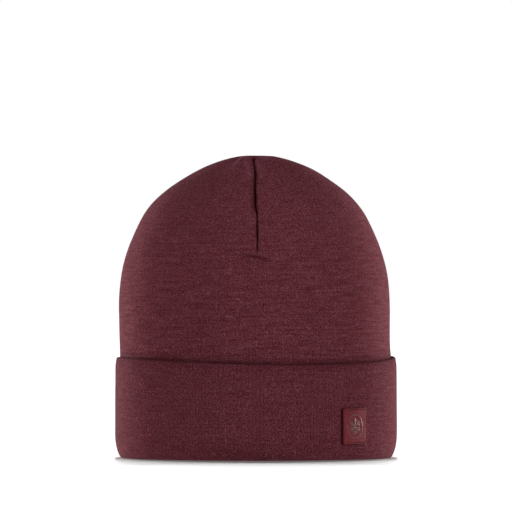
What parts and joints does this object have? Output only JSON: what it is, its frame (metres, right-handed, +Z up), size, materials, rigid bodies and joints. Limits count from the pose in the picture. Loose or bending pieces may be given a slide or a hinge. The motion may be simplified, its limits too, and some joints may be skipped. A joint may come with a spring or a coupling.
{
  "type": "cuffed knit beanie",
  "caption": "Soft jersey beanie with a rounded crown drawn in by four sewn darts, a wide turned-up cuff, and a small square patch on the cuff.",
  "frame": {"origin": "on the surface that the rim stands on, under the middle of the hat", "axes": "+Z up through the crown, -Y out of the forehead side, +X towards the patch's side"},
  "size_m": [0.174, 0.208, 0.1872],
  "materials": {
    "crown_jersey": "fine doubled merino jersey in heathered wine red, matt, with a short soft nap that lightens the edges",
    "cuff_jersey": "the same heathered wine red jersey turned up, a little fuzzier and without the crown's faint courses",
    "patch_hide": "thin wine red imitation hide with a fine pebble, a raised ring and small stitches round its edge"
  },
  "bodies": {
    "root": {"crown": "crown_jersey", "cuff": "cuff_jersey", "label": "patch_hide"}
  },
  "joints": []
}
